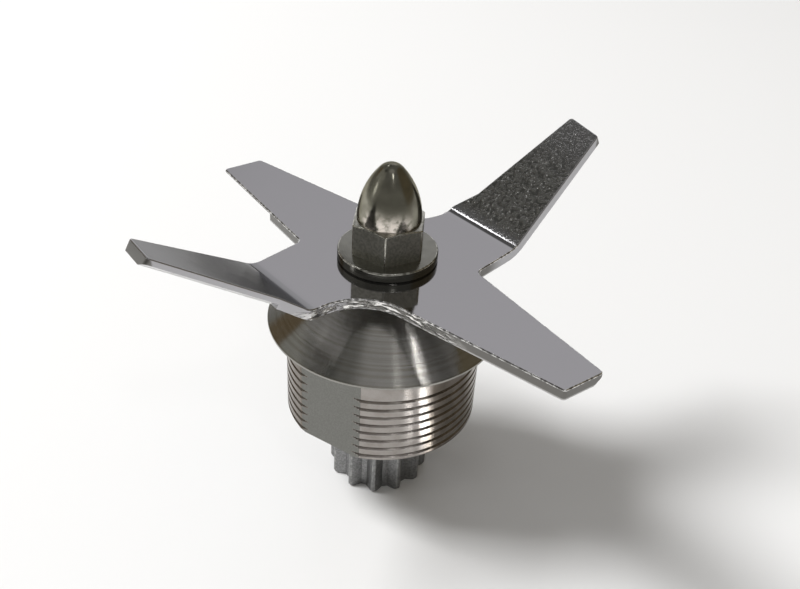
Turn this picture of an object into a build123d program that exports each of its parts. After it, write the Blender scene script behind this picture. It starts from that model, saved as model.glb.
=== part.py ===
from build123d import *
import math
import os

os.makedirs("parts", exist_ok=True)

# Drive spline: toothed coupling at the foot, its lower face at z = 0
spline_length = 12.8
spline_tip_diameter = 16.0
spline_root_diameter = 13.2
spline_teeth = 12
spline_tip_width = 0.5
spline_root_width = 3.2
spline_tooth_angle = 26.6
spline_tooth_sink = 0.6
spline_hub_diameter = 11.6
spline_edge_break = 0.4

# Housing: one turned piece with a threaded skirt, a flange and a conical top
housing_gap = 1.3
thread_diameter = 30.0
thread_length = 16.2
thread_chamfer = 0.25
flat_depth = 1.0
flat_angle = -122.0
flange_diameter = 35.6
rim_height = 0.3
rim_edge_break = 0.15
cone_angle = 35.0
crown_diameter = 13.5
crown_thickness = 2.2

# Ball bearings: two alike, with the shaft in their bores
shaft_diameter = 8.0
bearing_diameter = 22.0
bearing_width = 7.0
ball_diameter = 3.97
ball_count = 7
race_shoulder = 1.45
race_clearance = 0.05
ring_edge_break = 0.3
shield_thickness = 0.3
shield_recess = 0.2
shield_seat = 0.5
shield_clearance = 0.25
cage_thickness = 1.2
cage_bridge = 0.5
pocket_clearance = 0.1
spacer_width = 1.4
seat_clearance = 0.01

# Retaining ring: sprung into a groove under the lower bearing
retaining_thickness = 1.2
retaining_width = 1.3
retaining_gap_angle = 40.0
retaining_lug_radius = 1.6
retaining_lug_hole = 0.7
groove_depth = 0.6
groove_clearance = 0.05
bore_lip = 1.0

# Shaft seal: rubber lip in a pressed case, with a spring ring round the lip
seal_section = 2.5
seal_height = 3.0
seal_case_wall = 0.45
seal_clearance = 0.03
lip_clearance = 0.06
lip_depth = 0.4
lip_wall = 0.55
lip_roof = 0.6
garter_wire_radius = 0.3

# Blade collar: sleeve from the upper bearing to the blade, with a slinger under the blade
collar_diameter = 11.0
collar_clearance = 0.4
slinger_diameter = 12.8
slinger_clearance = 0.3
blade_gap = 1.05

# Blade: four tapered arms stamped from one sheet, two flat and two bent up
blade_thickness = 1.6
arm_root_distance = 15.0
flat_arm_angle = -46.7
flat_arm_reach = 36.9
flat_arm_tip_width = 6.8
flat_arm_root_width = 13.6
bent_arm_angle = 35.0
bent_arm_reach = 36.75
bent_arm_tip_width = 6.5
bent_arm_root_width = 14.2
bent_arm_root_shift = 1.45
flat_tip_skew = 7.0
bent_tip_skew = 4.0
tip_corner_radius = 0.6
heel_reach = 17.0
heel_overhang = 1.3
heel_run = 3.5
heel_flank_angle = 13.5
heel_radius = 1.2
gap_radius = 8.2
notch_radius = 1.2
trim_margin = 8.0
bend_distance = 16.9
bend_angle = 33.0
bend_skew = 6.8
bend_radius = 5.0
bevel_width = 1.5
flat_bevel_height = 1.2
bent_bevel_height = 0.7
bevel_start = 21.0

# Shaft ends: double-D blade seat, stud for the nut and centre drilling
seat_flats = 6.6
seat_rise = 0.8
seat_angle = flat_arm_angle
stud_diameter = 6.0
stud_length = 8.0
stud_chamfer = 0.6
shaft_recess = 1.5
centre_drill_radius = 1.2
fit_clearance = 0.05

# Washer and cap nut
washer_diameter = 14.8
washer_thickness = 1.6
washer_edge_break = 0.25
washer_clearance = 0.2
nut_flats = 10.0
nut_hex_height = 5.0
nut_corner_angle = -93.5
nut_chamfer_angle = 12.0
nut_chamfer_inset = 0.15
nut_bore_depth = 8.6
dome_base_radius = 4.7
dome_height = 8.6
dome_nose_radius = 2.3

# Radii used by several pieces
shaft_radius = shaft_diameter / 2
bearing_radius = bearing_diameter / 2
thread_radius = thread_diameter / 2
flange_radius = flange_diameter / 2
crown_radius = crown_diameter / 2
collar_radius = collar_diameter / 2
ball_radius = ball_diameter / 2
pitch_radius = (shaft_radius + bearing_radius) / 2
seal_radius = collar_radius + seal_section
groove_radius = bearing_radius + groove_depth

# Heights, from the foot up to the nut
housing_bottom = spline_length + housing_gap
flange_underside = housing_bottom + thread_length
rim_top = flange_underside + rim_height
cone_rise = (flange_radius - crown_radius) * math.tan(math.radians(cone_angle))
crown_top = rim_top + cone_rise
blade_bottom = crown_top + blade_gap
blade_top = blade_bottom + blade_thickness
washer_top = blade_top + washer_thickness
hex_top = washer_top + nut_hex_height
seat_top = blade_top + seat_rise

# Heights of the bearings: the upper one from the crown down, the lower one from the skirt up
seal_top = crown_top - crown_thickness
upper_bearing_top = seal_top - seal_height
upper_bearing_bottom = upper_bearing_top - bearing_width
retaining_bottom = housing_bottom + bore_lip
lower_bearing_bottom = retaining_bottom + retaining_thickness
lower_bearing_top = lower_bearing_bottom + bearing_width
spacer_length = upper_bearing_bottom - lower_bearing_top

# Drive spline: teeth on a root cylinder, a hub that bears on the lower inner ring, and a bore for the shaft
tooth_foot = spline_root_diameter / 2 - spline_tooth_sink
with BuildPart() as drive_spline:
    with BuildSketch():
        Circle(spline_root_diameter / 2)
        with PolarLocations(0, spline_teeth, start_angle=spline_tooth_angle):
            Polygon(
                (tooth_foot, -spline_root_width / 2),
                (spline_tip_diameter / 2, -spline_tip_width / 2),
                (spline_tip_diameter / 2, spline_tip_width / 2),
                (tooth_foot, spline_root_width / 2),
                align=None,
            )
    extrude(amount=spline_length)
    with BuildSketch(Plane.XZ):
        with BuildLine():
            Polyline(
                (0, 0),
                (spline_tip_diameter / 2 - spline_edge_break, 0),
                (spline_tip_diameter / 2, spline_edge_break),
                (spline_tip_diameter / 2, spline_length - spline_edge_break),
                (spline_tip_diameter / 2 - spline_edge_break, spline_length),
                (0, spline_length),
                close=True,
            )
        make_face()
    revolve(axis=Axis.Z, mode=Mode.INTERSECT)
    with BuildSketch(Plane.XY.offset(spline_length)):
        Circle(spline_hub_diameter / 2)
    extrude(amount=lower_bearing_bottom - spline_length)
    with BuildSketch():
        Circle(shaft_radius + fit_clearance)
    extrude(amount=lower_bearing_bottom, mode=Mode.SUBTRACT)
drive_spline.part.label = "drive_spline"
export_step(drive_spline.part, "parts/drive_spline.step")

# Housing: turned section with the bearing bore, ring groove, seal bore and collar hole, then two flats
with BuildPart() as housing:
    with BuildSketch(Plane.XZ):
        with BuildLine():
            Polyline(
                (bearing_radius, housing_bottom),
                (thread_radius - thread_chamfer, housing_bottom),
                (thread_radius, housing_bottom + thread_chamfer),
                (thread_radius, flange_underside),
                (flange_radius - rim_edge_break, flange_underside),
                (flange_radius, flange_underside + rim_edge_break),
                (flange_radius, rim_top),
                (crown_radius, crown_top),
                (collar_radius + collar_clearance, crown_top),
                (collar_radius + collar_clearance, seal_top),
                (seal_radius, seal_top),
                (seal_radius, upper_bearing_top),
                (bearing_radius, upper_bearing_top),
                (bearing_radius, lower_bearing_bottom),
                (groove_radius, lower_bearing_bottom),
                (groove_radius, retaining_bottom),
                (bearing_radius, retaining_bottom),
                close=True,
            )
        make_face()
    revolve(axis=Axis.Z)
    with BuildSketch(Plane.XY.offset(housing_bottom).rotated((0, 0, flat_angle))):
        Rectangle(2 * flange_diameter, 2 * flange_diameter)
        Rectangle(thread_diameter - 2 * flat_depth, 2 * flange_diameter, mode=Mode.SUBTRACT)
    extrude(amount=thread_length, mode=Mode.SUBTRACT)
housing.part.label = "housing"
export_step(housing.part, "parts/housing.step")

# Ball bearings: inner ring, outer ring, balls, cage and two shields each
inner_shoulder = pitch_radius - race_shoulder
outer_shoulder = pitch_radius + race_shoulder
shield_outer = outer_shoulder + shield_seat
shield_depth = shield_recess + shield_thickness
for place, bearing_bottom in (("lower", lower_bearing_bottom), ("upper", upper_bearing_bottom)):
    bearing_top = bearing_bottom + bearing_width
    bearing_middle = bearing_bottom + bearing_width / 2

    with BuildPart() as inner_ring:
        with BuildSketch(Plane.XZ):
            with BuildLine():
                Polyline(
                    (shaft_radius + seat_clearance, bearing_bottom),
                    (inner_shoulder, bearing_bottom),
                    (inner_shoulder, bearing_top),
                    (shaft_radius + seat_clearance, bearing_top),
                    close=True,
                )
            make_face()
            with Locations((pitch_radius, bearing_middle)):
                Circle(ball_radius + race_clearance, mode=Mode.SUBTRACT)
        revolve(axis=Axis.Z)
    inner_ring.part.label = f"{place}_inner_ring"
    export_step(inner_ring.part, f"parts/{place}_inner_ring.step")

    with BuildPart() as outer_ring:
        with BuildSketch(Plane.XZ):
            with BuildLine():
                Polyline(
                    (shield_outer, bearing_bottom),
                    (bearing_radius - seat_clearance - ring_edge_break, bearing_bottom),
                    (bearing_radius - seat_clearance, bearing_bottom + ring_edge_break),
                    (bearing_radius - seat_clearance, bearing_top - ring_edge_break),
                    (bearing_radius - seat_clearance - ring_edge_break, bearing_top),
                    (shield_outer, bearing_top),
                    (shield_outer, bearing_top - shield_depth),
                    (outer_shoulder, bearing_top - shield_depth),
                    (outer_shoulder, bearing_bottom + shield_depth),
                    (shield_outer, bearing_bottom + shield_depth),
                    close=True,
                )
            make_face()
            with Locations((pitch_radius, bearing_middle)):
                Circle(ball_radius + race_clearance, mode=Mode.SUBTRACT)
        revolve(axis=Axis.Z)
    outer_ring.part.label = f"{place}_outer_ring"
    export_step(outer_ring.part, f"parts/{place}_outer_ring.step")

    with BuildPart(Plane.XY.offset(bearing_middle)) as balls:
        with PolarLocations(pitch_radius, ball_count):
            Sphere(ball_radius)
    balls.part.label = f"{place}_balls"
    export_step(balls.part, f"parts/{place}_balls.step")

    with BuildPart(Plane.XY.offset(bearing_middle)) as cage:
        with BuildSketch(Plane.XY.offset(bearing_middle - ball_radius - cage_bridge)):
            Circle(pitch_radius + cage_thickness / 2)
            Circle(pitch_radius - cage_thickness / 2, mode=Mode.SUBTRACT)
        extrude(amount=2 * (ball_radius + cage_bridge))
        with PolarLocations(pitch_radius, ball_count):
            Cylinder(
                ball_radius + pocket_clearance,
                2 * cage_thickness,
                rotation=(0, 90, 0),
                mode=Mode.SUBTRACT,
            )
    cage.part.label = f"{place}_cage"
    export_step(cage.part, f"parts/{place}_cage.step")

    with BuildPart() as shields:
        for shield_bottom in (bearing_bottom + shield_recess, bearing_top - shield_depth):
            with BuildSketch(Plane.XY.offset(shield_bottom)):
                Circle(shield_outer - seat_clearance)
                Circle(inner_shoulder + shield_clearance, mode=Mode.SUBTRACT)
            extrude(amount=shield_thickness)
    shields.part.label = f"{place}_shields"
    export_step(shields.part, f"parts/{place}_shields.step")

# Spacers: a sleeve between the inner rings and a ring between the outer rings
with BuildPart() as inner_spacer:
    with BuildSketch(Plane.XY.offset(lower_bearing_top)):
        Circle(shaft_radius + seat_clearance + spacer_width)
        Circle(shaft_radius + seat_clearance, mode=Mode.SUBTRACT)
    extrude(amount=spacer_length)
inner_spacer.part.label = "inner_spacer"
export_step(inner_spacer.part, "parts/inner_spacer.step")

with BuildPart() as outer_spacer:
    with BuildSketch(Plane.XY.offset(lower_bearing_top)):
        Circle(bearing_radius - seat_clearance)
        Circle(bearing_radius - seat_clearance - spacer_width, mode=Mode.SUBTRACT)
    extrude(amount=spacer_length)
outer_spacer.part.label = "outer_spacer"
export_step(outer_spacer.part, "parts/outer_spacer.step")

# Retaining ring: open ring with a drilled lug at each end, sprung into the groove
retaining_outer = groove_radius - groove_clearance
retaining_inner = bearing_radius - retaining_width
lug_centre = bearing_radius - retaining_lug_radius - groove_clearance
lug_angle = retaining_gap_angle / 2 + math.degrees(retaining_lug_radius / lug_centre)
with BuildPart() as retaining_ring:
    with BuildSketch(Plane.XY.offset(retaining_bottom + groove_clearance)):
        Circle(retaining_outer)
        Circle(retaining_inner, mode=Mode.SUBTRACT)
        with BuildLine():
            Polyline(
                (0, 0),
                Vector(2 * groove_radius, 0).rotate(Axis.Z, -retaining_gap_angle / 2),
                Vector(2 * groove_radius, 0).rotate(Axis.Z, retaining_gap_angle / 2),
                close=True,
            )
        make_face(mode=Mode.SUBTRACT)
        for side in (-1, 1):
            with Locations(Vector(lug_centre, 0).rotate(Axis.Z, side * lug_angle)):
                Circle(retaining_lug_radius)
                Circle(retaining_lug_hole, mode=Mode.SUBTRACT)
    extrude(amount=retaining_thickness - groove_clearance)
retaining_ring.part.label = "retaining_ring"
export_step(retaining_ring.part, "parts/retaining_ring.step")

# Shaft seal: pressed case, rubber lip bonded under its roof, and the spring ring in the lip's groove
case_outer = seal_radius - seal_clearance
case_inner = case_outer - seal_case_wall
case_bottom = upper_bearing_top + seal_clearance
case_top = seal_top - seal_clearance
lip_edge = collar_radius + lip_clearance
lip_inner = lip_edge + lip_depth
lip_outer = lip_inner + lip_wall
lip_top = case_top - seal_case_wall - seal_clearance
lip_bottom = case_bottom + seal_case_wall
lip_middle = (lip_top - lip_roof + lip_bottom) / 2
garter_radius = lip_outer + garter_wire_radius / 2
with BuildPart() as seal_case:
    with BuildSketch(Plane.XZ):
        with BuildLine():
            Polyline(
                (case_outer, case_bottom),
                (case_outer, case_top),
                (lip_outer, case_top),
                (lip_outer, case_top - seal_case_wall),
                (case_inner, case_top - seal_case_wall),
                (case_inner, case_bottom),
                close=True,
            )
        make_face()
    revolve(axis=Axis.Z)
seal_case.part.label = "seal_case"
export_step(seal_case.part, "parts/seal_case.step")

with BuildPart() as seal_lip:
    with BuildSketch(Plane.XZ):
        with BuildLine():
            Polyline(
                (lip_inner, lip_top),
                (lip_edge, lip_middle),
                (lip_inner, lip_bottom),
                (lip_outer, lip_bottom),
                (lip_outer, lip_top - lip_roof),
                (case_inner - seal_clearance, lip_top - lip_roof),
                (case_inner - seal_clearance, lip_top),
                close=True,
            )
        make_face()
        with Locations((garter_radius, lip_middle)):
            Circle(garter_wire_radius + seal_clearance, mode=Mode.SUBTRACT)
    revolve(axis=Axis.Z)
seal_lip.part.label = "seal_lip"
export_step(seal_lip.part, "parts/seal_lip.step")

with BuildPart() as garter_spring:
    with BuildSketch(Plane.XZ):
        with Locations((garter_radius, lip_middle)):
            Circle(garter_wire_radius)
    revolve(axis=Axis.Z)
garter_spring.part.label = "garter_spring"
export_step(garter_spring.part, "parts/garter_spring.step")

# Blade collar: sleeve that the seal lip runs on, with the slinger flange just under the blade
with BuildPart() as blade_collar:
    with BuildSketch(Plane.XZ):
        with BuildLine():
            Polyline(
                (shaft_radius + seat_clearance, upper_bearing_top),
                (collar_radius, upper_bearing_top),
                (collar_radius, crown_top + slinger_clearance),
                (slinger_diameter / 2, crown_top + slinger_clearance),
                (slinger_diameter / 2, blade_bottom),
                (shaft_radius + seat_clearance, blade_bottom),
                close=True,
            )
        make_face()
    revolve(axis=Axis.Z)
blade_collar.part.label = "blade_collar"
export_step(blade_collar.part, "parts/blade_collar.step")

# Shaft: turned spindle, two flats at the blade seat, threaded stud above and a centre drilling below
with BuildPart() as shaft:
    with BuildSketch(Plane.XZ):
        with BuildLine():
            Polyline(
                (0, shaft_recess + centre_drill_radius),
                (centre_drill_radius, shaft_recess),
                (shaft_radius - stud_chamfer, shaft_recess),
                (shaft_radius, shaft_recess + stud_chamfer),
                (shaft_radius, seat_top),
                (stud_diameter / 2, seat_top),
                (stud_diameter / 2, washer_top + stud_length - stud_chamfer),
                (stud_diameter / 2 - stud_chamfer, washer_top + stud_length),
                (0, washer_top + stud_length),
                close=True,
            )
        make_face()
    revolve(axis=Axis.Z)
    with BuildSketch(Plane.XY.offset(blade_bottom).rotated((0, 0, seat_angle))):
        Rectangle(2 * shaft_diameter, 2 * shaft_diameter)
        Rectangle(2 * shaft_diameter, seat_flats, mode=Mode.SUBTRACT)
    extrude(amount=blade_thickness + seat_rise, mode=Mode.SUBTRACT)
shaft.part.label = "shaft"
export_step(shaft.part, "parts/shaft.step")


# Whole width of a tapered arm at a distance from the axis
def arm_width(distance, reach, tip_width, root_width):
    taper = (root_width - tip_width) / (reach - arm_root_distance)
    return tip_width + taper * (reach - distance)


# Bent arm in plan: tapered, leaning to the notch at its root, with a heel on the side of the arc
bent_axis_width = arm_width(0, bent_arm_reach, bent_arm_tip_width, bent_arm_root_width)
trim_reach = bent_arm_reach + trim_margin
trim_width = arm_width(trim_reach, bent_arm_reach, bent_arm_tip_width, bent_arm_root_width)
lean = bent_arm_root_shift / (bent_arm_reach - arm_root_distance)
axis_edge = bent_axis_width / 2 - lean * bent_arm_reach
trim_edge = trim_width / 2 + lean * trim_margin
edge_taper = (axis_edge - trim_edge) / trim_reach
heel_end = heel_reach + heel_run
heel_width = axis_edge - edge_taper * heel_reach + heel_overhang
heel_root = heel_width - heel_reach * math.tan(math.radians(heel_flank_angle))
heel_tip = Vector(heel_reach, heel_width).rotate(Axis.Z, bent_arm_angle)
with BuildSketch() as arm_outline:
    Polygon(
        (0, axis_edge - bent_axis_width),
        (trim_reach, trim_edge - trim_width),
        (trim_reach, trim_edge),
        (heel_end, axis_edge - edge_taper * heel_end),
        (heel_reach, heel_width),
        (0, heel_root),
        rotation=bent_arm_angle,
        align=None,
    )
    fillet(arm_outline.vertices().sort_by_distance(heel_tip)[:1], heel_radius)

# Blade outline in plan: the four arms, with arcs and notches between them
flat_axis_width = arm_width(0, flat_arm_reach, flat_arm_tip_width, flat_arm_root_width)
tip_slant = math.tan(math.radians(flat_tip_skew)) / 2
with BuildSketch() as blade_outline:
    for turn in (0, 180):
        Polygon(
            (0, -flat_axis_width / 2),
            (flat_arm_reach - flat_arm_tip_width * tip_slant, -flat_arm_tip_width / 2),
            (flat_arm_reach + flat_arm_tip_width * tip_slant, flat_arm_tip_width / 2),
            (0, flat_axis_width / 2),
            rotation=flat_arm_angle + turn,
            align=None,
        )
        add(arm_outline.sketch, rotation=turn)
    fillet(blade_outline.vertices().sort_by_distance((0, 0, 0))[2:4], notch_radius)
    fillet(blade_outline.vertices().sort_by_distance((0, 0, 0))[:2], gap_radius)
    fillet(blade_outline.vertices().sort_by_distance((0, 0, 0))[-8:-4], tip_corner_radius)

# Bent arm: sheet section with its bend, drawn across the bend line, trimmed to the outline and cut square
bend_azimuth = bent_arm_angle + bend_skew
bend_slope = math.tan(math.radians(bend_angle))
bend_half = math.tan(math.radians(bend_angle / 2))
bend_start = bend_distance - bend_radius * bend_half
rise_end = (trim_reach - bend_distance) * bend_slope
across_bend = Plane(
    origin=(0, 0, blade_top),
    x_dir=Vector(1, 0, 0).rotate(Axis.Z, bend_azimuth),
    z_dir=Vector(0, -1, 0).rotate(Axis.Z, bend_azimuth),
)
arm_slope = bend_slope * math.cos(math.radians(bend_skew))
arm_line = Vector(1, 0, arm_slope).rotate(Axis.Z, bent_arm_angle)
sheet_normal = Vector(-bend_slope, 0, 1).rotate(Axis.Z, bend_azimuth)
tip_rise = bent_arm_reach * arm_slope - bend_distance * bend_slope
tip_cut = Plane(
    origin=Vector(bent_arm_reach, 0, blade_top + tip_rise).rotate(Axis.Z, bent_arm_angle),
    z_dir=arm_line.rotate(Axis((0, 0, 0), sheet_normal), -bent_tip_skew),
)
with BuildPart() as bent_arm:
    with BuildSketch(across_bend):
        with BuildLine():
            upper = FilletPolyline(
                (bend_start - blade_thickness, 0),
                (bend_distance, 0),
                (trim_reach, rise_end),
                radius=bend_radius,
            )
            lower = FilletPolyline(
                (bend_start - blade_thickness, -blade_thickness),
                (bend_distance + blade_thickness * bend_half, -blade_thickness),
                (
                    trim_reach + blade_thickness * math.sin(math.radians(bend_angle)),
                    rise_end - blade_thickness * math.cos(math.radians(bend_angle)),
                ),
                radius=bend_radius + blade_thickness,
            )
            Line(upper @ 0, lower @ 0)
            Line(upper @ 1, lower @ 1)
        make_face()
    extrude(amount=bent_arm_root_width, both=True)
    extrude(arm_outline.sketch, amount=blade_top + rise_end, mode=Mode.INTERSECT)
    with BuildSketch(tip_cut):
        Rectangle(2 * bent_arm_root_width, 2 * bent_arm_root_width)
    extrude(amount=trim_reach, mode=Mode.SUBTRACT)
    tip_face = bent_arm.faces().sort_by_distance((0, 0, blade_top))[-1]
    fillet(tip_face.edges().sort_by(SortBy.LENGTH)[:2], tip_corner_radius)

# Bent area in plan: the part of the arm that leaves the flat sheet
with BuildSketch() as bent_area:
    add(arm_outline.sketch)
    with PolarLocations(bend_start + trim_reach / 2, 1, start_angle=bend_azimuth):
        Rectangle(trim_reach, 2 * bent_arm_root_width, mode=Mode.INTERSECT)

# Leading edges, where the arms are sharpened from below: a point, a line and the sheet's upward direction
flat_edge = arm_width(bevel_start, flat_arm_reach, flat_arm_tip_width, flat_arm_root_width) / 2
flat_taper = math.degrees(math.atan2(flat_axis_width / 2 - flat_edge, bevel_start))
flat_edge_line = Vector(1, 0, 0).rotate(Axis.Z, flat_arm_angle - flat_taper)
flat_edge_point = Vector(bevel_start, flat_edge, blade_bottom).rotate(Axis.Z, flat_arm_angle)
bent_edge = axis_edge - edge_taper * bevel_start
bent_taper = math.degrees(math.atan(edge_taper))
bent_edge_slope = bend_slope * math.cos(math.radians(bend_skew + bent_taper))
bent_edge_line = Vector(1, 0, bent_edge_slope).rotate(Axis.Z, bent_arm_angle - bent_taper)
bent_edge_run = Vector(bevel_start, bent_edge, 0).rotate(Axis.Z, -bend_skew).X - bend_distance
sheet_drop = blade_thickness / math.cos(math.radians(bend_angle))
bent_edge_height = blade_top + bent_edge_run * bend_slope - sheet_drop
bent_edge_point = Vector(bevel_start, bent_edge, bent_edge_height).rotate(Axis.Z, bent_arm_angle)
leading_edges = (
    (flat_edge_point, flat_edge_line, Vector(0, 0, 1), flat_bevel_height),
    (bent_edge_point, bent_edge_line, sheet_normal, bent_bevel_height),
)

# Blade: flat sheet with the double-D hole, the two bent arms, and a bevel under each arm's leading edge
with BuildPart() as blade:
    with BuildSketch(Plane.XY.offset(blade_bottom)):
        add(blade_outline.sketch)
        add(bent_area.sketch, mode=Mode.SUBTRACT)
        add(bent_area.sketch, rotation=180, mode=Mode.SUBTRACT)
    extrude(amount=blade_thickness)
    add(bent_arm.part)
    add(bent_arm.part, rotation=(0, 0, 180))
    with BuildSketch(Plane.XY.offset(blade_bottom).rotated((0, 0, seat_angle))):
        Circle(shaft_radius + fit_clearance)
        Rectangle(2 * shaft_diameter, seat_flats + 2 * fit_clearance, mode=Mode.INTERSECT)
    extrude(amount=blade_thickness, mode=Mode.SUBTRACT)
    for point, line, upward, height in leading_edges:
        for turn in (0, 180):
            along = line.rotate(Axis.Z, turn)
            outward = upward.cross(line).rotate(Axis.Z, turn)
            with BuildSketch(Plane(origin=point.rotate(Axis.Z, turn), x_dir=outward, z_dir=along)):
                with BuildLine():
                    Polyline(
                        (-bevel_width, 0),
                        (bevel_width, 0),
                        (bevel_width, 2 * height),
                        close=True,
                    )
                make_face()
            extrude(amount=flat_arm_reach, mode=Mode.SUBTRACT)
blade.part.label = "blade"
export_step(blade.part, "parts/blade.step")

# Washer: flat turned ring on the blade, clear of the shaft's seat
with BuildPart() as blade_washer:
    with BuildSketch(Plane.XZ):
        with BuildLine():
            Polyline(
                (shaft_radius + washer_clearance, blade_top),
                (washer_diameter / 2, blade_top),
                (washer_diameter / 2, washer_top - washer_edge_break),
                (washer_diameter / 2 - washer_edge_break, washer_top),
                (shaft_radius + washer_clearance, washer_top),
                close=True,
            )
        make_face()
    revolve(axis=Axis.Z)
blade_washer.part.label = "blade_washer"
export_step(blade_washer.part, "parts/blade_washer.step")

# Cap nut: hexagon with chamfered top corners, a pointed dome of two arcs, and a blind bore for the stud
chamfer_radius = nut_flats / 2 - nut_chamfer_inset
chamfer_drop = (nut_flats - chamfer_radius) * math.tan(math.radians(nut_chamfer_angle))
nose_height = dome_height - dome_nose_radius
ogive_radius = (dome_base_radius**2 + nose_height**2 - dome_nose_radius**2) / (
    2 * (dome_base_radius - dome_nose_radius)
)
ogive_angle = math.degrees(math.atan2(nose_height, ogive_radius - dome_base_radius))
with BuildPart() as cap_nut:
    with BuildSketch(Plane.XY.offset(washer_top)):
        RegularPolygon(nut_flats / 2, 6, major_radius=False, rotation=nut_corner_angle)
    extrude(amount=nut_hex_height)
    with BuildSketch(Plane.XZ):
        with BuildLine():
            Polyline(
                (0, hex_top),
                (chamfer_radius, hex_top),
                (nut_flats, hex_top - chamfer_drop),
                (nut_flats, washer_top),
                (0, washer_top),
                close=True,
            )
        make_face()
    revolve(axis=Axis.Z, mode=Mode.INTERSECT)
    with BuildSketch(Plane.XZ):
        with BuildLine():
            side = CenterArc((dome_base_radius - ogive_radius, hex_top), ogive_radius, 0, ogive_angle)
            nose = CenterArc((0, hex_top + nose_height), dome_nose_radius, ogive_angle, 90 - ogive_angle)
            Polyline(nose @ 1, (0, hex_top), side @ 0)
        make_face()
    revolve(axis=Axis.Z)
    with BuildSketch(Plane.XY.offset(washer_top)):
        Circle(stud_diameter / 2 + fit_clearance)
    extrude(amount=nut_bore_depth, mode=Mode.SUBTRACT)
cap_nut.part.label = "cap_nut"
export_step(cap_nut.part, "parts/cap_nut.step")
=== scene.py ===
import math

import bmesh
import bpy
from mathutils import Matrix, Vector


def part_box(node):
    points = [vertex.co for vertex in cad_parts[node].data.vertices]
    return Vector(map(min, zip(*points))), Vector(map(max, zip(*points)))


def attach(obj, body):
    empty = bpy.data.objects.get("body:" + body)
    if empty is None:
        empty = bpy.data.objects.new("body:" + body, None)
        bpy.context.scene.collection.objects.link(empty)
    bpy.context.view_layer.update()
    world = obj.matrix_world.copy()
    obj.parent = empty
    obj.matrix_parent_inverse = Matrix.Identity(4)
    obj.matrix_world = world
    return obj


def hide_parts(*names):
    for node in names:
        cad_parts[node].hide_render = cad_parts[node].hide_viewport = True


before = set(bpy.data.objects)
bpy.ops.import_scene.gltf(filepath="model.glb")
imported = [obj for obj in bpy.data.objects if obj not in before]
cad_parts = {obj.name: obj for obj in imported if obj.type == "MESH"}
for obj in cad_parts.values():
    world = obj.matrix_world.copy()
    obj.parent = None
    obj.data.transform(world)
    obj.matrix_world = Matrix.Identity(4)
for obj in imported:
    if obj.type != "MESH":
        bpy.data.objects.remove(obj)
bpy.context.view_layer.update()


# Housing: one piece turned from stainless bar, with a conical top, a thin flange and a threaded skirt.
# The thread is cut shallow and stops short of the flange, and two flats are milled across the skirt.
housing_low, housing_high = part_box("housing")
flange_radius = housing_high.x
skirt_bottom = housing_low.z
crown_top = housing_high.z
skirt_radius = 0.0150
skirt_chamfer = 0.00025
flange_underside = skirt_bottom + 0.0162
rim_top = flange_underside + 0.0003
rim_edge = 0.00008
crown_radius = 0.00675
collar_hole_radius = 0.0059
seal_bore_radius = 0.0080
seal_bore_top = crown_top - 0.0022
bearing_bore_radius = 0.0110
bearing_bore_top = seal_bore_top - 0.0030
groove_radius = 0.0116
groove_bottom = skirt_bottom + 0.0010
groove_top = groove_bottom + 0.0012
thread_pitch = 0.0015
thread_depth = 0.00042
thread_start = 0.875
thread_top = skirt_bottom + 0.0124
thread_runout = 0.0006
flat_offset = 0.0140
flat_azimuth = math.radians(-122)
flat_likeness = math.cos(math.radians(4))
lit_front_side = (0.087, -0.996, 0)
lit_front_start = 0.0134
lit_front_full = 0.0144
around = 432
steps_per_pitch = 16
steps_per_groove = 3
housing_crease = 24
cone_finish, thread_finish, flat_finish = range(3)
weld = 1e-7
hair = 1e-5


def skirt_point(angle, height):
    """A point on the skirt: the thread's wall, less the end chamfer, the run-out and the two flats."""
    phase = ((height - skirt_bottom) / thread_pitch - angle / math.tau - thread_start) % 1
    groove = max(1 - min(phase, 1 - phase) * steps_per_pitch / steps_per_groove, 0)
    fade = min(max((thread_top - height) / thread_runout, 0), 1)
    radius = skirt_radius - thread_depth * groove * fade
    radius = min(radius, skirt_radius - skirt_chamfer + height - skirt_bottom)
    across = abs(math.cos(angle - flat_azimuth))
    radius = min(radius, flat_offset / max(across, 0.5))
    return Vector((radius * math.cos(angle), radius * math.sin(angle), height))


def ring(radius, height):
    """A level ring of points round the axis."""
    angles = (math.tau * i / around for i in range(around))
    return [Vector((radius * math.cos(a), radius * math.sin(a), height)) for a in angles]


def sharpen(mesh_edit, limit):
    """Smooth faces, with a crease at each edge that turns more than the limit in degrees."""
    for face in mesh_edit.faces:
        face.smooth = True
    for edge in mesh_edit.edges:
        edge.smooth = edge.calc_face_angle(0) < math.radians(limit)


def add_piece(name, mesh_edit):
    """A new object in the scene from an edited mesh."""
    mesh = bpy.data.meshes.new(name)
    mesh_edit.to_mesh(mesh)
    mesh_edit.free()
    piece = bpy.data.objects.new(name, mesh)
    bpy.context.scene.collection.objects.link(piece)
    return piece


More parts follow.
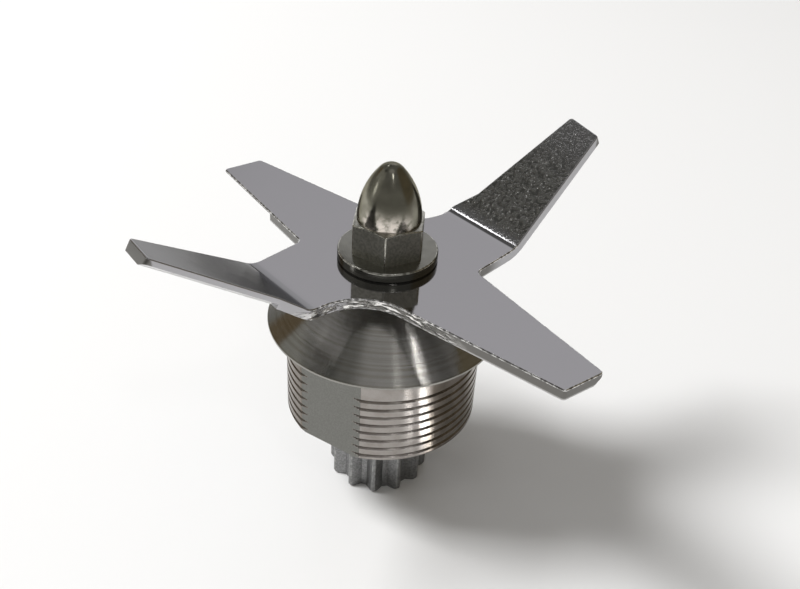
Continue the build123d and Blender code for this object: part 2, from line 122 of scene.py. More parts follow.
turns = math.ceil((thread_top - skirt_bottom) / thread_pitch) + 1
last_helix = turns * steps_per_pitch + 1
rows = [ring(bearing_bore_radius, skirt_bottom)]
for step in range(last_helix):
    row = []
    for i in range(around):
        rise = step / steps_per_pitch + i / around - 1
        height = min(max(skirt_bottom + thread_pitch * rise, skirt_bottom), thread_top)
        row.append(skirt_point(math.tau * i / around, height))
    rows.append(row)
rows.append([skirt_point(math.tau * i / around, flange_underside) for i in range(around)])
turned_profile = (
    (flange_radius - rim_edge, flange_underside),
    (flange_radius, flange_underside + rim_edge),
    (flange_radius, rim_top - rim_edge),
    (flange_radius - rim_edge / 2, rim_top + rim_edge / 2),
    (crown_radius, crown_top),
    (collar_hole_radius, crown_top),
    (collar_hole_radius, seal_bore_top),
    (seal_bore_radius, seal_bore_top),
    (seal_bore_radius, bearing_bore_top),
    (bearing_bore_radius, bearing_bore_top),
    (bearing_bore_radius, groove_top),
    (groove_radius, groove_top),
    (groove_radius, groove_bottom),
    (bearing_bore_radius, groove_bottom),
)
for radius, height in turned_profile:
    rows.append(ring(radius, height))

housing_edit = bmesh.new()
grid = [[housing_edit.verts.new(point) for point in row] for row in rows]
for k in range(len(rows)):
    upper = grid[(k + 1) % len(rows)]
    for i in range(around):
        follow = (i + 1) % around
        if 1 <= k < last_helix and follow == 0:
            near = grid[min(k + steps_per_pitch, last_helix)][0]
            far = grid[min(k + 1 + steps_per_pitch, last_helix)][0]
        else:
            near = grid[k][follow]
            far = upper[follow]
        corners = [grid[k][i], near, far, upper[i]]
        if len(set(corners)) == 4:
            housing_edit.faces.new(corners)
bmesh.ops.remove_doubles(housing_edit, verts=housing_edit.verts, dist=weld)
bmesh.ops.dissolve_degenerate(housing_edit, dist=weld, edges=housing_edit.edges)
bmesh.ops.recalc_face_normals(housing_edit, faces=housing_edit.faces)
flat_normal = Vector((math.cos(flat_azimuth), math.sin(flat_azimuth), 0))
for face in housing_edit.faces:
    centre = face.calc_center_median()
    on_skirt = centre.z < flange_underside - hair and centre.xy.length > groove_radius + hair
    if on_skirt and abs(face.normal.dot(flat_normal)) > flat_likeness:
        face.material_index = flat_finish
    elif on_skirt:
        face.material_index = thread_finish
    else:
        face.material_index = cone_finish
sharpen(housing_edit, housing_crease)
housing = add_piece("turned_housing", housing_edit)


def surface(name, colour, roughness, metal=1.0):
    """A material with its node tree, its shader and its object coordinates."""
    material = bpy.data.materials.new(name)
    material.use_nodes = True
    tree = material.node_tree
    shader = tree.nodes["Principled BSDF"]
    shader.inputs["Base Color"].default_value = (*colour, 1)
    shader.inputs["Metallic"].default_value = metal
    shader.inputs["Roughness"].default_value = roughness
    place = tree.nodes.new("ShaderNodeTexCoord")
    return material, tree, shader, place.outputs["Object"]


def mottle(tree, place, size, detail):
    """Soft irregular patches of about the given size, as a value from 0 to 1."""
    patches = tree.nodes.new("ShaderNodeTexNoise")
    patches.inputs["Scale"].default_value = 1 / size
    patches.inputs["Detail"].default_value = detail
    tree.links.new(place, patches.inputs["Vector"])
    return patches.outputs["Fac"]


def spread(tree, value, start, full, low, high):
    """The value's range from start to full, stretched to run from low to high."""
    stretch = tree.nodes.new("ShaderNodeMapRange")
    stretch.interpolation_type = "SMOOTHSTEP"
    stretch.inputs["From Min"].default_value = start
    stretch.inputs["From Max"].default_value = full
    stretch.inputs["To Min"].default_value = low
    stretch.inputs["To Max"].default_value = high
    tree.links.new(value, stretch.inputs["Value"])
    return stretch.outputs["Result"]


def tint(tree, share, first, second):
    """A colour that goes from the first to the second as the share goes from 0 to 1."""
    blend = tree.nodes.new("ShaderNodeMix")
    blend.data_type = "RGBA"
    for end, colour in (("A", first), ("B", second)):
        if isinstance(colour, tuple):
            blend.inputs[end].default_value = (*colour, 1)
        else:
            tree.links.new(colour, blend.inputs[end])
    tree.links.new(share, blend.inputs["Factor"])
    return blend.outputs["Result"]


def paint(tree, shader, colour):
    """Gives the surface a colour that varies."""
    tree.links.new(colour, shader.inputs["Base Color"])


def roughen(tree, shader, roughness):
    """Gives the surface a roughness that varies."""
    tree.links.new(roughness, shader.inputs["Roughness"])


def relief(tree, shader, height, depth, strength):
    """Raises the surface by the height value, up to the depth in metres."""
    bump = tree.nodes.new("ShaderNodeBump")
    bump.inputs["Strength"].default_value = strength
    bump.inputs["Distance"].default_value = depth
    tree.links.new(height, bump.inputs["Height"])
    tree.links.new(bump.outputs["Normal"], shader.inputs["Normal"])


def coordinates(tree, place):
    """The X, Y and Z of a place."""
    apart = tree.nodes.new("ShaderNodeSeparateXYZ")
    tree.links.new(place, apart.inputs[0])
    return apart.outputs


def length_of(tree, vector):
    """How long a vector is."""
    length = tree.nodes.new("ShaderNodeVectorMath")
    length.operation = "LENGTH"
    tree.links.new(vector, length.inputs[0])
    return length.outputs["Value"]


def reach_along(tree, place, direction):
    """How far a place lies from the axis in a direction."""
    reach = tree.nodes.new("ShaderNodeVectorMath")
    reach.operation = "DOT_PRODUCT"
    reach.inputs[1].default_value = direction
    tree.links.new(place, reach.inputs[0])
    return reach.outputs["Value"]


def slope_line(tree, place):
    """A value that grows down and outward along a turned surface."""
    apart = coordinates(tree, place)
    level = tree.nodes.new("ShaderNodeCombineXYZ")
    tree.links.new(apart["X"], level.inputs["X"])
    tree.links.new(apart["Y"], level.inputs["Y"])
    along = tree.nodes.new("ShaderNodeMath")
    along.operation = "SUBTRACT"
    tree.links.new(length_of(tree, level.outputs[0]), along.inputs[0])
    tree.links.new(apart["Z"], along.inputs[1])
    return along.outputs[0]


def rings(tree, along, spacing, detail):
    """Lines round the axis, as a lathe tool leaves them, as a value from 0 to 1."""
    marks = tree.nodes.new("ShaderNodeTexNoise")
    marks.noise_dimensions = "1D"
    marks.inputs["Scale"].default_value = 1 / spacing
    marks.inputs["Detail"].default_value = detail
    tree.links.new(along, marks.inputs["W"])
    return marks.outputs["Fac"]


def turned_sheen(tree, shader, amount):
    """Draws the highlights out across the lathe lines."""
    grain = tree.nodes.new("ShaderNodeTangent")
    grain.direction_type = "RADIAL"
    grain.axis = "Z"
    tree.links.new(grain.outputs["Tangent"], shader.inputs["Tangent"])
    shader.inputs["Anisotropic"].default_value = amount
    shader.inputs["Anisotropic Rotation"].default_value = 0.25


turned_steel, tree, shader, place = surface("turned_steel", (0.33, 0.325, 0.3), 0.2)
turned_sheen(tree, shader, 0.93)
slope = slope_line(tree, place)
relief(tree, shader, rings(tree, slope, 0.0004, 3), 0.00001, 0.08)
band = spread(tree, rings(tree, slope, 0.0007, 4), 0.4, 0.66, 0, 1)
paint(tree, shader, tint(tree, band, (0.34, 0.335, 0.315), (0.295, 0.285, 0.255)))
wipe = mottle(tree, place, 0.0015, 3)
roughen(tree, shader, spread(tree, wipe, 0.3, 0.7, 0.15, 0.2))

thread_steel, tree, shader, place = surface("thread_steel", (0.36, 0.335, 0.315), 0.22)
turned_sheen(tree, shader, 0.85)
# Painted light and shade: the front of the thread is painted a lighter tone and the rest a browner, darker
# one. The tarnish tone also varies at random.
lit_front = spread(tree, reach_along(tree, place, lit_front_side), lit_front_start, lit_front_full, 0, 1)
tarnish = spread(tree, mottle(tree, place, 0.0022, 5), 0.4, 0.7, 0, 1)
shaded_brown = tint(tree, tarnish, (0.21, 0.185, 0.16), (0.16, 0.138, 0.115))
lit_tone = tint(tree, tarnish, (0.37, 0.345, 0.325), (0.3, 0.275, 0.255))
paint(tree, shader, tint(tree, lit_front, shaded_brown, lit_tone))
burr = mottle(tree, place, 0.00025, 4)
roughen(tree, shader, spread(tree, burr, 0.3, 0.7, 0.17, 0.27))
relief(tree, shader, burr, 0.00002, 0.15)

milled_steel, tree, shader, place = surface("milled_steel", (0.2, 0.2, 0.185), 0.45)
sand = mottle(tree, place, 0.00022, 6)
speck = spread(tree, sand, 0.36, 0.66, 0, 1)
paint(tree, shader, tint(tree, speck, (0.185, 0.185, 0.17), (0.22, 0.22, 0.205)))
relief(tree, shader, sand, 0.00003, 0.12)
for finish in (turned_steel, thread_steel, milled_steel):
    housing.data.materials.append(finish)
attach(housing, "housing")
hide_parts("housing")


# Ball bearings, spacers and retaining ring: ground and pressed steel pieces, stacked in the housing's bore.
# The ring snaps into a groove below the stack and holds it. Only its underside can be seen.
ground_steel, tree, shader, place = surface("ground_steel", (0.48, 0.48, 0.48), 0.18)
relief(tree, shader, rings(tree, slope_line(tree, place), 0.00012, 3), 0.00002, 0.12)
oil = mottle(tree, place, 0.0012, 3)
roughen(tree, shader, spread(tree, oil, 0.3, 0.7, 0.14, 0.28))
pressed_steel, tree, shader, place = surface("pressed_steel", (0.42, 0.42, 0.41), 0.34)
relief(tree, shader, rings(tree, slope_line(tree, place), 0.0004, 3), 0.00002, 0.2)
rub = mottle(tree, place, 0.0016, 4)
roughen(tree, shader, spread(tree, rub, 0.3, 0.7, 0.26, 0.45))
spring_steel, tree, shader, place = surface("spring_steel", (0.14, 0.14, 0.145), 0.4)
scale = mottle(tree, place, 0.0008, 5)
paint(tree, shader, tint(tree, scale, (0.11, 0.11, 0.115), (0.2, 0.2, 0.2)))
relief(tree, shader, scale, 0.00002, 0.3)


def dress(node, material):
    """Gives a solid of the frame its finish."""
    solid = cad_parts[node]
    solid.data.materials.clear()
    solid.data.materials.append(material)


for storey in ("lower", "upper"):
    for ground in ("inner_ring", "outer_ring", "balls"):
        dress(f"{storey}_{ground}", ground_steel)
    for pressed in ("cage", "shields"):
        dress(f"{storey}_{pressed}", pressed_steel)
dress("inner_spacer", ground_steel)
dress("outer_spacer", ground_steel)
dress("retaining_ring", spring_steel)


# Shaft seal: a pressed steel case with a black rubber lip moulded in it.
# A spring ring holds the lip to the collar, and the case is pressed in under the housing's crown.
dress("seal_case", pressed_steel)
dress("garter_spring", spring_steel)
seal_rubber, tree, shader, place = surface("seal_rubber", (0.02, 0.02, 0.02), 0.6, 0.0)
bloom = mottle(tree, place, 0.0007, 4)
roughen(tree, shader, spread(tree, bloom, 0.3, 0.7, 0.5, 0.75))
paint(tree, shader, tint(tree, bloom, (0.015, 0.015, 0.015), (0.03, 0.03, 0.03)))
dress("seal_lip", seal_rubber)


# Shaft and blade collar: ground steel, turned between centres and carried by the bearings.
# The collar is a sleeve on the shaft that the blade is clamped against, just above the cone.
dress("shaft", ground_steel)
dress("blade_collar", ground_steel)


# Drive spline: a dull sintered coupling pressed on the shaft's foot.
# Its surface is finely grained, and the crests of its teeth are rubbed a little lighter.
tooth_edge_radius = 0.00015
tooth_crease = 30
tooth_finish, crest_finish = range(2)


def solid_copy(node):
    """A copy of a solid of the frame to work on, its flat faces made whole."""
    copy_edit = bmesh.new()
    copy_edit.from_mesh(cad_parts[node].data)
    bmesh.ops.remove_doubles(copy_edit, verts=copy_edit.verts, dist=weld)
    half_degree = math.radians(0.5)
    parts = {"verts": copy_edit.verts, "edges": copy_edit.edges}
    bmesh.ops.dissolve_limit(copy_edit, angle_limit=half_degree, **parts)
    return copy_edit


def outward_edges(mesh_edit, limit):
    """The outward edges that turn more than the limit in degrees."""
    least = math.radians(limit)
    return [edge for edge in mesh_edit.edges if edge.is_convex and edge.calc_face_angle(0) > least]


def ease_edges(mesh_edit, corners, radius, finish):
    """Rounds the edges and gives the rounded strips a finish of their own."""
    bmesh.ops.bevel(
        mesh_edit,
        geom=corners,
        offset=radius,
        segments=3,
        profile=0.5,
        affect="EDGES",
        clamp_overlap=False,
        material=finish,
    )


spline_edit = solid_copy("drive_spline")
for face in spline_edit.faces:
    face.material_index = tooth_finish
ease_edges(spline_edit, outward_edges(spline_edit, tooth_crease), tooth_edge_radius, crest_finish)
sharpen(spline_edit, tooth_crease)
spline = add_piece("toothed_coupling", spline_edit)

sintered_steel, tree, shader, place = surface("sintered_steel", (0.25, 0.25, 0.25), 0.42)
pores = mottle(tree, place, 0.0003, 5)
grit = spread(tree, pores, 0.38, 0.62, 0, 1)
paint(tree, shader, tint(tree, grit, (0.2, 0.2, 0.2), (0.3, 0.3, 0.3)))
relief(tree, shader, pores, 0.00004, 0.3)
rubbed_steel, tree, shader, place = surface("rubbed_steel", (0.3, 0.3, 0.295), 0.3)
rubs = spread(tree, mottle(tree, place, 0.0006, 4), 0.4, 0.6, 0, 1)
paint(tree, shader, tint(tree, rubs, (0.22, 0.22, 0.215), (0.36, 0.36, 0.355)))
spline.data.materials.append(sintered_steel)
spline.data.materials.append(rubbed_steel)
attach(spline, "rotor")
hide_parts("drive_spline")


# Blade: four arms stamped from one polished stainless sheet, two flat and two bent up.
# Its walls round the hub are torn from the press, with painted glints. Past their bends, the two bent arms
# are painted darker as shade, with a scuffed grain.
# It sits on two flats of the shaft, and the nut clamps it there.
sheet_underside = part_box("blade")[0].z
sheet_thickness = 0.0016
sheet_top = sheet_underside + sheet_thickness
blade_edge_radius = 0.0002
edge_turn = 30
blade_crease = 50
bend_line = 0.0169
bend_angle = math.radians(33)
bend_azimuth = math.radians(41.8)
bend_direction = Vector((math.cos(bend_azimuth), math.sin(bend_azimuth), 0))
bent_arm_azimuth = math.radians(35)
bent_arm_direction = Vector((math.cos(bent_arm_azimuth), math.sin(bent_arm_azimuth), 0))
bent_arm_tip = 0.0366
sheet_likeness = 0.7
top_finish, wall_finish, edge_finish, underside_finish = range(4)
arm_shade_full = bend_line + 0.0025
arm_shade_fades = bend_line + 0.010
arm_shade_end = bend_line + 0.019
bent_wall_start = 0.010
bent_wall_full = 0.014
tip_fade = 0.0003
torn_front_full = -0.009
torn_front_end = -0.007
torn_reach_full = 0.0425
torn_reach_end = 0.0465
lower_highlight_full = sheet_underside + 0.00011
lower_highlight_end = sheet_underside + 0.00031
upturn_start = sheet_top + 0.0002
upturn_full = sheet_top + 0.0008

blade_edit = solid_copy("blade")
sheet_up = Vector((0, 0, 1))
for face in blade_edit.faces:
    side = 1 if face.calc_center_median().dot(bend_direction) > 0 else -1
    bent_up = sheet_up * math.cos(bend_angle) - bend_direction * side * math.sin(bend_angle)
    along_sheet = max(abs(face.normal.dot(sheet_up)), abs(face.normal.dot(bent_up)))
    if along_sheet > sheet_likeness:
        face.material_index = top_finish if face.normal.z > 0 else underside_finish
    else:
        face.material_index = wall_finish
top_edges = []
for edge in outward_edges(blade_edit, edge_turn):
    if any(face.material_index == top_finish for face in edge.link_faces):
        top_edges.append(edge)
ease_edges(blade_edit, top_edges, blade_edge_radius, edge_finish)
sharpen(blade_edit, 180)
blade = add_piece("stamped_blade", blade_edit)


def shade_by_area(piece, limit):
    """Shades over edges that turn less than the limit in degrees, and keeps large faces plain."""
    mesh = piece.data
    at_corner = [[] for vertex in mesh.vertices]
    for face in mesh.polygons:
        for corner in face.vertices:
            at_corner[corner].append(face)
    least = math.cos(math.radians(limit))
    directions = [Vector((0, 0, 1)) for loop in mesh.loops]
    for face in mesh.polygons:
        for loop, corner in zip(face.loop_indices, face.vertices):
            near = [other for other in at_corner[corner] if other.normal.dot(face.normal) > least]
            directions[loop] = sum((other.normal * other.area for other in near), Vector()).normalized()
    mesh.normals_split_custom_set(directions)


shade_by_area(blade, blade_crease)


def times(tree, first, second):
    """The product of two values."""
    product = tree.nodes.new("ShaderNodeMath")
    product.operation = "MULTIPLY"
    tree.links.new(first, product.inputs[0])
    tree.links.new(second, product.inputs[1])
    return product.outputs[0]


def either_way(tree, value):
    """The value without its sign."""
    plain = tree.nodes.new("ShaderNodeMath")
    plain.operation = "ABSOLUTE"
    tree.links.new(value, plain.inputs[0])
    return plain.outputs[0]


def raised(tree, base, value, share):
    """The base, raised by a share of the value."""
    total = tree.nodes.new("ShaderNodeMath")
    total.operation = "MULTIPLY_ADD"
    total.inputs[1].default_value = share
    tree.links.new(value, total.inputs[0])
    tree.links.new(base, total.inputs[2])
    return total.outputs[0]


polished_sheet, tree, shader, place = surface("polished_sheet", (0.36, 0.355, 0.365), 0.07)
shader.inputs["Specular Tint"].default_value = (0.62, 0.62, 0.63, 1)
beyond = reach_along(tree, place, bend_direction)
either_arm = either_way(tree, beyond)
# Painted shade: past their bends, the two bent arms are painted darker, less so toward their tips. Their
# roughness is raised a little there, and one arm gets a darker grain.
pressed = spread(tree, either_arm, bend_line, arm_shade_full, 0, 1)
fading = spread(tree, either_arm, arm_shade_fades, arm_shade_end, 1, 0.4)
shade_and_scuff = times(tree, pressed, fading)
grained = times(tree, spread(tree, beyond, bend_line, arm_shade_full, 0, 1), fading)
wear_and_sheen = times(tree, spread(tree, mottle(tree, place, 0.0006, 6), 0.4, 0.6, 0, 1), grained)
shaded_grain_colour = tint(tree, wear_and_sheen, (0.14, 0.138, 0.13), (0.235, 0.232, 0.222))
sheet_colour = tint(tree, shade_and_scuff, (0.36, 0.355, 0.365), shaded_grain_colour)
# Painted glints: sparse near-white flecks on one bent arm.
glint_flecks = times(tree, spread(tree, mottle(tree, place, 0.0004, 2), 0.62, 0.7, 0, 1), grained)
paint(tree, shader, tint(tree, glint_flecks, sheet_colour, (0.75, 0.75, 0.74)))
polish = spread(tree, mottle(tree, place, 0.004, 3), 0.35, 0.7, 0.05, 0.1)
roughen(tree, shader, raised(tree, raised(tree, polish, shade_and_scuff, 0.12), wear_and_sheen, 0.12))
relief(tree, shader, wear_and_sheen, 0.00009, 0.7)

sheared_edge, tree, shader, place = surface("sheared_edge", (0.2, 0.195, 0.19), 0.25)
apart = coordinates(tree, place)
toward_bend = either_way(tree, reach_along(tree, place, bend_direction))
past_hub = spread(tree, toward_bend, bent_wall_start, bent_wall_full, 0, 1)
along_arm = either_way(tree, reach_along(tree, place, bent_arm_direction))
behind_tip = spread(tree, along_arm, bent_arm_tip - tip_fade, bent_arm_tip, 1, 0)
on_bent_arm = times(tree, past_hub, behind_tip)
in_front = spread(tree, apart["Y"], torn_front_full, torn_front_end, 1, 0)
by_hub = times(tree, spread(tree, length_of(tree, place), torn_reach_full, torn_reach_end, 1, 0), in_front)
drawn_down = tree.nodes.new("ShaderNodeMapping")
drawn_down.inputs["Scale"].default_value = (1, 1, 4)
tree.links.new(place, drawn_down.inputs["Vector"])
tears = spread(tree, mottle(tree, drawn_down.outputs["Vector"], 0.0016, 3), 0.4, 0.6, 0, 1)
# Painted glints: the torn patches on the front walls near the hub are painted nearly white. Their tear
# pattern also bumps the surface.
torn_glints = times(tree, tears, by_hub)
# Painted light on the walls: a light band along their foot is a painted highlight, and the wall above it is
# painted dark as shade. The walls of the bent arms are painted lighter, short of their tip ends.
lit_lower_band = spread(tree, apart["Z"], lower_highlight_full, lower_highlight_end, 1, 0)
flat_wall = tint(tree, lit_lower_band, (0.17, 0.165, 0.155), (0.46, 0.455, 0.45))
plain_wall = tint(tree, on_bent_arm, flat_wall, (0.42, 0.415, 0.43))
paint(tree, shader, tint(tree, torn_glints, plain_wall, (0.85, 0.84, 0.82)))
roughen(tree, shader, spread(tree, by_hub, 0, 1, 0.28, 0.12))
relief(tree, shader, torn_glints, 0.0003, 0.7)

broken_edge, tree, shader, place = surface("broken_edge", (0.6, 0.595, 0.59), 0.16)
nicks = mottle(tree, place, 0.0006, 4)
glints = spread(tree, nicks, 0.44, 0.58, 0, 1)
# Painted glints: the eased top edges are painted in bright and dark flecks, and plain on the bent arms. The
# nicks also bump the surface.
glinting_nicks = tint(tree, glints, (0.28, 0.275, 0.27), (0.85, 0.845, 0.84))
turned_up = spread(tree, coordinates(tree, place)["Z"], upturn_start, upturn_full, 0, 1)
paint(tree, shader, tint(tree, turned_up, glinting_nicks, (0.4, 0.395, 0.405)))
relief(tree, shader, times(tree, nicks, spread(tree, turned_up, 0, 1, 1, 0)), 0.00015, 0.6)

plain_sheet, tree, shader, place = surface("plain_sheet", (0.36, 0.355, 0.365), 0.1)
haze = mottle(tree, place, 0.003, 4)
paint(tree, shader, tint(tree, haze, (0.33, 0.325, 0.33), (0.39, 0.385, 0.39)))
roughen(tree, shader, spread(tree, haze, 0.3, 0.7, 0.07, 0.15))
for finish in (polished_sheet, sheared_edge, broken_edge, plain_sheet):
    blade.data.materials.append(finish)
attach(blade, "rotor")
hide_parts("blade")


# Washer: a flat ring of dark turned steel between the nut and the blade.
# Its rim is rounded, with a painted highlight broken by darker chips, and its side keeps the lathe's lines.
washer_low, washer_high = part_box("blade_washer")
washer_radius = washer_high.x
washer_hole_radius = 0.0042
washer_edge = 0.00025
washer_crease = 40
washer_finish, rim_finish = range(2)


def quarter_round(centre_radius, centre_height, radius):
    """Four points from the side of a rounded rim over to its top."""
    quarter = [math.pi / 2 * k / 3 for k in range(4)]
    return [(centre_radius + radius * math.cos(a), centre_height + radius * math.sin(a)) for a in quarter]


def wrap(rows):
    """A skin of four-sided faces over rows of points that close round the axis."""
    skin_edit = bmesh.new()
    net = [[skin_edit.verts.new(point) for point in row] for row in rows]
    for lower, upper in zip(net, net[1:]):
        for i in range(around):
            follow = (i + 1) % around
            skin_edit.faces.new((lower[i], lower[follow], upper[follow], upper[i]))
    bmesh.ops.recalc_face_normals(skin_edit, faces=skin_edit.faces)
    return skin_edit


washer_profile = [
    (washer_hole_radius, washer_low.z),
    (washer_radius - washer_edge, washer_low.z),
    (washer_radius, washer_low.z + washer_edge),
]
washer_profile += quarter_round(washer_radius - washer_edge, washer_high.z - washer_edge, washer_edge)
washer_profile += [(washer_hole_radius, washer_high.z), (washer_hole_radius, washer_low.z)]
washer_edit = wrap([ring(radius, height) for radius, height in washer_profile])
bmesh.ops.remove_doubles(washer_edit, verts=washer_edit.verts, dist=weld)
rim_start = washer_high.z - washer_edge
for face in washer_edit.faces:
    on_rim = rim_start + weld < face.calc_center_median().z < washer_high.z - weld
    face.material_index = rim_finish if on_rim else washer_finish
sharpen(washer_edit, washer_crease)
washer = add_piece("turned_washer", washer_edit)

washer_steel, tree, shader, place = surface("washer_steel", (0.2, 0.198, 0.175), 0.2)
turned_sheen(tree, shader, 0.6)
relief(tree, shader, rings(tree, slope_line(tree, place), 0.0003, 3), 0.00003, 0.3)
smear = mottle(tree, place, 0.0013, 4)
paint(tree, shader, tint(tree, smear, (0.15, 0.148, 0.13), (0.25, 0.247, 0.22)))
# Painted highlight: the rim is painted lighter than the washer's face, broken by darker chips.
rim_steel, tree, shader, place = surface("rim_steel", (0.55, 0.54, 0.48), 0.16)
chips = spread(tree, mottle(tree, place, 0.0008, 4), 0.36, 0.56, 0, 1)
paint(tree, shader, tint(tree, chips, (0.2, 0.195, 0.17), (0.5, 0.49, 0.45)))
washer.data.materials.append(washer_steel)
washer.data.materials.append(rim_steel)
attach(washer, "rotor")
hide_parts("blade_washer")


# Cap nut: turned from hexagon bar, with a chamfered hexagon below and a bright pointed dome above.
# It is screwed on the shaft's end and clamps the washer and the blade against the collar.
nut_low, nut_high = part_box("cap_nut")
hex_apothem = 0.0050
hex_corner_angle = math.radians(-93.5)
hex_corner_limit = 0.00571
hex_top = nut_low.z + 0.0050
hex_edge = 0.00012
nut_hole_radius = 0.0030
chamfer_radius = 0.00485
chamfer_slope = math.tan(math.radians(12))
dome_radius = 0.0047
nose_radius = 0.0023
nose_height = nut_high.z - hex_top - nose_radius
ogive_radius = (dome_radius**2 + nose_height**2 - nose_radius**2) / (2 * (dome_radius - nose_radius))
ogive_angle = math.atan2(nose_height, ogive_radius - dome_radius)
highlight_side = (-0.1, -0.995, 0)
highlight_side_start = 0.0026
highlight_side_full = 0.0040
highlight_foot_full = hex_top + 0.0008
highlight_foot_end = hex_top + 0.0032
arc_steps = 14
nut_crease = 22
upright = 0.1
level = 0.9
corner_share = 0.997
dome_finish, hexagon_finish, corner_finish = range(3)


def hexagon(inset, drop):
    """A row of points round the hexagon, at the height of its chamfer or, with no drop, at its foot."""
    row = []
    for i in range(around):
        angle = math.tau * i / around
        from_flat = (angle - hex_corner_angle) % (math.pi / 3) - math.pi / 6
        radius = min(hex_apothem / math.cos(from_flat), hex_corner_limit)
        height = nut_low.z if drop is None else hex_top - (radius - chamfer_radius) * chamfer_slope - drop
        reach = radius - inset
        row.append(Vector((reach * math.cos(angle), reach * math.sin(angle), height)))
    return row


nut_rows = [ring(nut_hole_radius, nut_low.z), hexagon(0, None), hexagon(0, hex_edge), hexagon(hex_edge, 0)]
nut_rows += [ring(chamfer_radius, hex_top), ring(dome_radius, hex_top)]
for k in range(arc_steps + 1):
    angle = ogive_angle * k / arc_steps
    reach = dome_radius - ogive_radius + ogive_radius * math.cos(angle)
    nut_rows.append(ring(reach, hex_top + ogive_radius * math.sin(angle)))
for k in range(1, arc_steps + 1):
    angle = ogive_angle + (math.pi / 2 - ogive_angle) * k / arc_steps
    height = hex_top + nose_height + nose_radius * math.sin(angle)
    nut_rows.append(ring(nose_radius * math.cos(angle), height))
nut_edit = wrap(nut_rows)
bmesh.ops.remove_doubles(nut_edit, verts=nut_edit.verts, dist=weld)
for face in nut_edit.faces:
    centre = face.calc_center_median()
    chamfered = upright < face.normal.z < level
    at_corner = abs(face.normal.z) < upright and centre.xy.length > hex_corner_limit * corner_share
    if centre.z > hex_top:
        face.material_index = dome_finish
    elif chamfered or at_corner:
        face.material_index = corner_finish
    else:
        face.material_index = hexagon_finish
sharpen(nut_edit, nut_crease)
nut = add_piece("domed_nut", nut_edit)

dome_steel, tree, shader, place = surface("dome_steel", (0.25, 0.242, 0.21), 0.2)
shader.inputs["Specular Tint"].default_value = (0.6, 0.58, 0.52, 1)
turned_sheen(tree, shader, 0.4)
relief(tree, shader, rings(tree, slope_line(tree, place), 0.00025, 3), 0.00001, 0.08)
film = mottle(tree, place, 0.0018, 4)
# Painted highlight: a cream patch at the dome's foot on the front side, broken up by a noise pattern.
by_foot = spread(tree, coordinates(tree, place)["Z"], highlight_foot_full, highlight_foot_end, 1, 0)
facing = spread(tree, reach_along(tree, place, highlight_side), highlight_side_start, highlight_side_full, 0, 1)
highlight_breakup = spread(tree, mottle(tree, place, 0.0008, 4), 0.36, 0.56, 0, 1)
wear_and_sheen = times(tree, times(tree, by_foot, facing), highlight_breakup)
filmed = tint(tree, spread(tree, film, 0.35, 0.65, 0, 1), (0.25, 0.242, 0.2), (0.19, 0.183, 0.148))
paint(tree, shader, tint(tree, wear_and_sheen, filmed, (0.72, 0.66, 0.6)))
roughen(tree, shader, spread(tree, film, 0.3, 0.7, 0.16, 0.26))
hexagon_steel, tree, shader, place = surface("hexagon_steel", (0.45, 0.445, 0.4), 0.3)
draw = mottle(tree, place, 0.0004, 6)
drawn = spread(tree, draw, 0.36, 0.64, 0, 1)
paint(tree, shader, tint(tree, drawn, (0.38, 0.375, 0.335), (0.52, 0.51, 0.46)))
relief(tree, shader, draw, 0.00003, 0.25)
corner_steel, tree, shader, place = surface("corner_steel", (0.6, 0.59, 0.53), 0.18)
dents = spread(tree, mottle(tree, place, 0.0005, 4), 0.38, 0.6, 0, 1)
paint(tree, shader, tint(tree, dents, (0.3, 0.295, 0.26), (0.52, 0.51, 0.46)))
for finish in (dome_steel, hexagon_steel, corner_steel):
    nut.data.materials.append(finish)
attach(nut, "rotor")
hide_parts("cap_nut")


# Studio: a white table under a soft lamp from the left, in a grey room with a window at the back.
# The room is light at the horizon, darker above, and brownish on the right.
table_edit = bmesh.new()
bmesh.ops.create_grid(table_edit, x_segments=1, y_segments=1, size=3.0)
table = add_piece("table_top", table_edit)
table_white, tree, shader, place = surface("table_white", (0.86, 0.86, 0.86), 0.9, 0.0)
shader.inputs["Specular IOR Level"].default_value = 0.0
table.data.materials.append(table_white)

room = bpy.data.worlds.new("studio_room")
bpy.context.scene.world = room
room.use_nodes = True
room_tree = room.node_tree
room_light = room_tree.nodes["Background"]
way = room_tree.nodes.new("ShaderNodeTexCoord")
upward = spread(room_tree, coordinates(room_tree, way.outputs["Generated"])["Z"], 0.3, 0.9, 0, 1)
shade = tint(room_tree, upward, (0.28, 0.275, 0.26), (0.22, 0.218, 0.21))
room_panels = (
    ("back_wall", (0, 1, 0.15), (0.72, 0.72, 0.73), 0.80, 0.93),
    ("left_wall", (-0.85, -0.05, 0.5), (0.4, 0.395, 0.37), 0.83, 0.93),
    ("upper_back", (-0.2, 0.58, 0.8), (0.16, 0.16, 0.155), 0.93, 0.975),
    ("window", (0.08, 0.83, 0.55), (0.83, 0.82, 0.84), 0.95, 0.975),
    ("ceiling", (0.05, -0.3, 0.95), (0.5, 0.49, 0.49), 0.92, 0.985),
    ("right_wall", (0.88, 0.12, 0.4), (0.19, 0.16, 0.11), 0.78, 0.87),
    ("upper_left", (-0.53, 0.33, 0.78), (0.25, 0.25, 0.24), 0.97, 0.99),
    ("dark_corner", (-0.57, -0.1, 0.82), (0.1, 0.1, 0.095), 0.975, 0.99),
    ("brown_door", (-0.76, 0.52, 0.40), (0.2, 0.15, 0.09), 0.975, 0.988),
)
for name, direction, colour, start, full in room_panels:
    facing = reach_along(room_tree, way.outputs["Generated"], Vector(direction).normalized())
    shade = tint(room_tree, spread(room_tree, facing, start, full, 0, 1), shade, colour)
    shade.node.label = name
room_tree.links.new(shade, room_light.inputs["Color"])

middle = Vector((0, 0, 0.03))


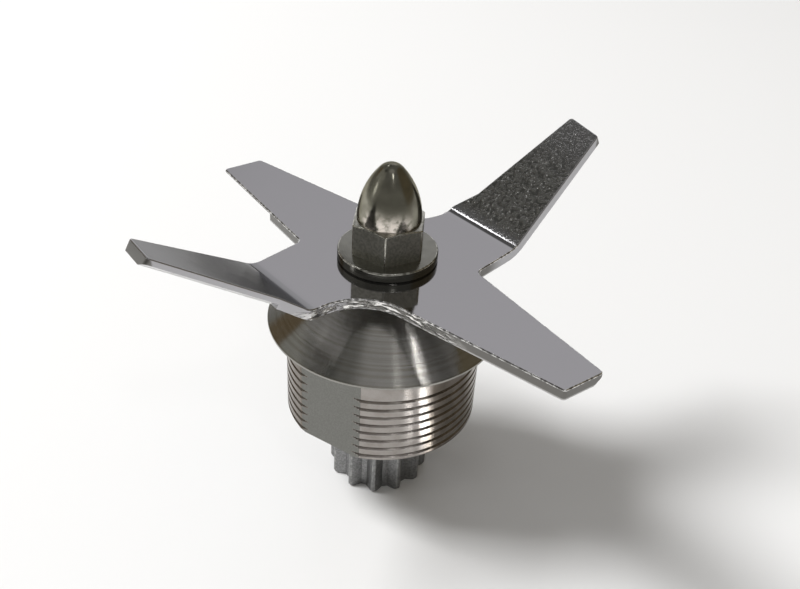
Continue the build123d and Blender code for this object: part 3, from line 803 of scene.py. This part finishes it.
def soft_lamp(name, direction, distance, size, power):
    """A square lamp that faces the object."""
    lamp = bpy.data.lights.new(name, "AREA")
    lamp.size = size
    lamp.energy = power
    stand = bpy.data.objects.new(name, lamp)
    aim = Vector(direction).normalized()
    stand.location = middle + aim * distance
    stand.rotation_euler = aim.to_track_quat("Z", "Y").to_euler()
    bpy.context.scene.collection.objects.link(stand)
    return stand


key = soft_lamp("key_lamp", (-0.65, 0.1, 0.75), 1.8, 0.6, 35.0)
key.visible_glossy = False
soft_lamp("front_lamp", (0.19, -0.56, 0.80), 0.6, 0.05, 0.08)
soft_lamp("left_lamp", (-0.91, -0.18, 0.35), 0.6, 0.08, 0.1)
soft_lamp("fold_lamp", (-0.246, 0.528, 0.791), 0.6, 0.06, 0.05)

# Narrow strips of light on the table, which the cone and the thread mirror.
for name, spot, width, length, power in (
    ("cone_strip", (0.0245, -0.0250, 0.001), 0.0014, 0.010, 0.002),
    ("thin_cone_strip", (0.0288, -0.0258, 0.001), 0.0007, 0.010, 0.0006),
    ("thread_strip", (0.0195, -0.0385, 0.001), 0.0012, 0.014, 0.0005),
):
    strip = soft_lamp(name, (0, 0, -1), 0.1, width, power)
    strip.data.shape = "RECTANGLE"
    strip.data.size_y = length
    strip.location = spot
    strip.visible_camera = False


# Camera: stands in front of the blade and looks down on it, rolled a little to the left.
# Its place and lens follow the photograph's view of the flange, thread, washer and arms.
camera_distance = 0.118815
camera_rise = 0.074986
camera_pitch = 0.60239
camera_yaw = 0.018281
camera_roll = 0.059606
lens_in_pixels = 955.21
picture_width = 800
camera_data = bpy.data.cameras.new("photo_camera")
camera_data.sensor_width = 36
camera_data.lens = lens_in_pixels / picture_width * camera_data.sensor_width
camera_data.clip_start = 0.005
camera = bpy.data.objects.new("photo_camera", camera_data)
turn = Matrix.Rotation(-camera_yaw, 4, "Z") @ Matrix.Rotation(math.pi / 2 - camera_pitch, 4, "X")
stance = Matrix.Translation((0, -camera_distance, washer_low.z + camera_rise))
camera.matrix_world = stance @ turn @ Matrix.Rotation(camera_roll, 4, "Z")
bpy.context.scene.collection.objects.link(camera)
bpy.context.scene.camera = camera
bpy.context.scene.view_settings.view_transform = "Standard"
